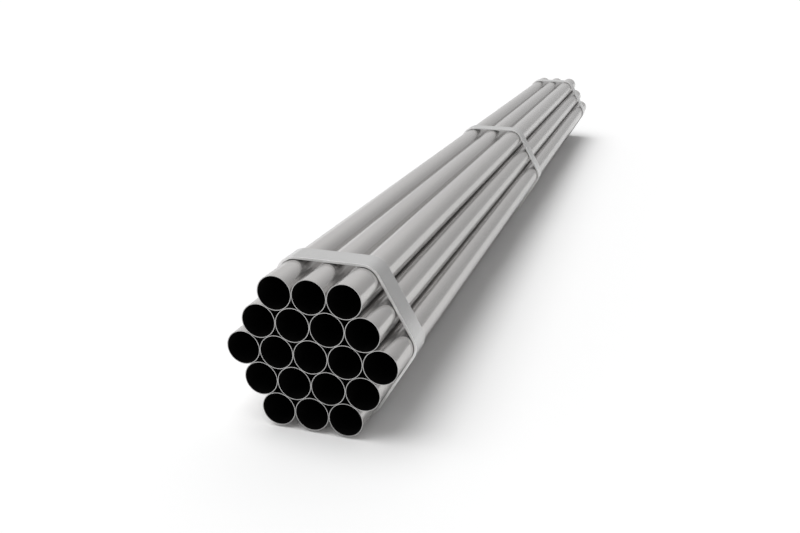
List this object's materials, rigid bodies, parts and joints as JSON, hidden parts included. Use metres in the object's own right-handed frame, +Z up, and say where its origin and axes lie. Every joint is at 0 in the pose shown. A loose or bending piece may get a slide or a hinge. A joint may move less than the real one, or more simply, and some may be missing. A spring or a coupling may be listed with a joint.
{
  "type": "steel pipe bundle",
  "caption": "Hexagonal bundle of plain-ended round steel pipes lying on the floor, held together by flat steel straps bent round its corners.",
  "frame": {"origin": "middle of the bundle's footprint, on the floor under the straps", "axes": "+Y along the pipes from their front ends to their back ends, +X across the bundle to the right, +Z up"},
  "size_m": [0.6266, 6, 0.5615],
  "materials": {
    "pipe_steel": "bright drawn steel with a satin gloss",
    "strap_steel": "flat grey rolled steel, dull"
  },
  "bodies": {
    "root": {"pipe_row1_1": "pipe_steel", "pipe_row1_2": "pipe_steel", "pipe_row1_3": "pipe_steel", "pipe_row2_1": "pipe_steel", "pipe_row2_2": "pipe_steel", "pipe_row2_3": "pipe_steel", "pipe_row2_4": "pipe_steel", "pipe_row3_1": "pipe_steel", "pipe_row3_2": "pipe_steel", "pipe_row3_3": "pipe_steel", "pipe_row3_4": "pipe_steel", "pipe_row3_5": "pipe_steel", "pipe_row4_1": "pipe_steel", "pipe_row4_2": "pipe_steel", "pipe_row4_3": "pipe_steel", "pipe_row4_4": "pipe_steel", "pipe_row5_1": "pipe_steel", "pipe_row5_2": "pipe_steel", "pipe_row5_3": "pipe_steel", "strap_front": "strap_steel", "strap_middle": "strap_steel", "strap_back": "strap_steel"}
  },
  "joints": []
}
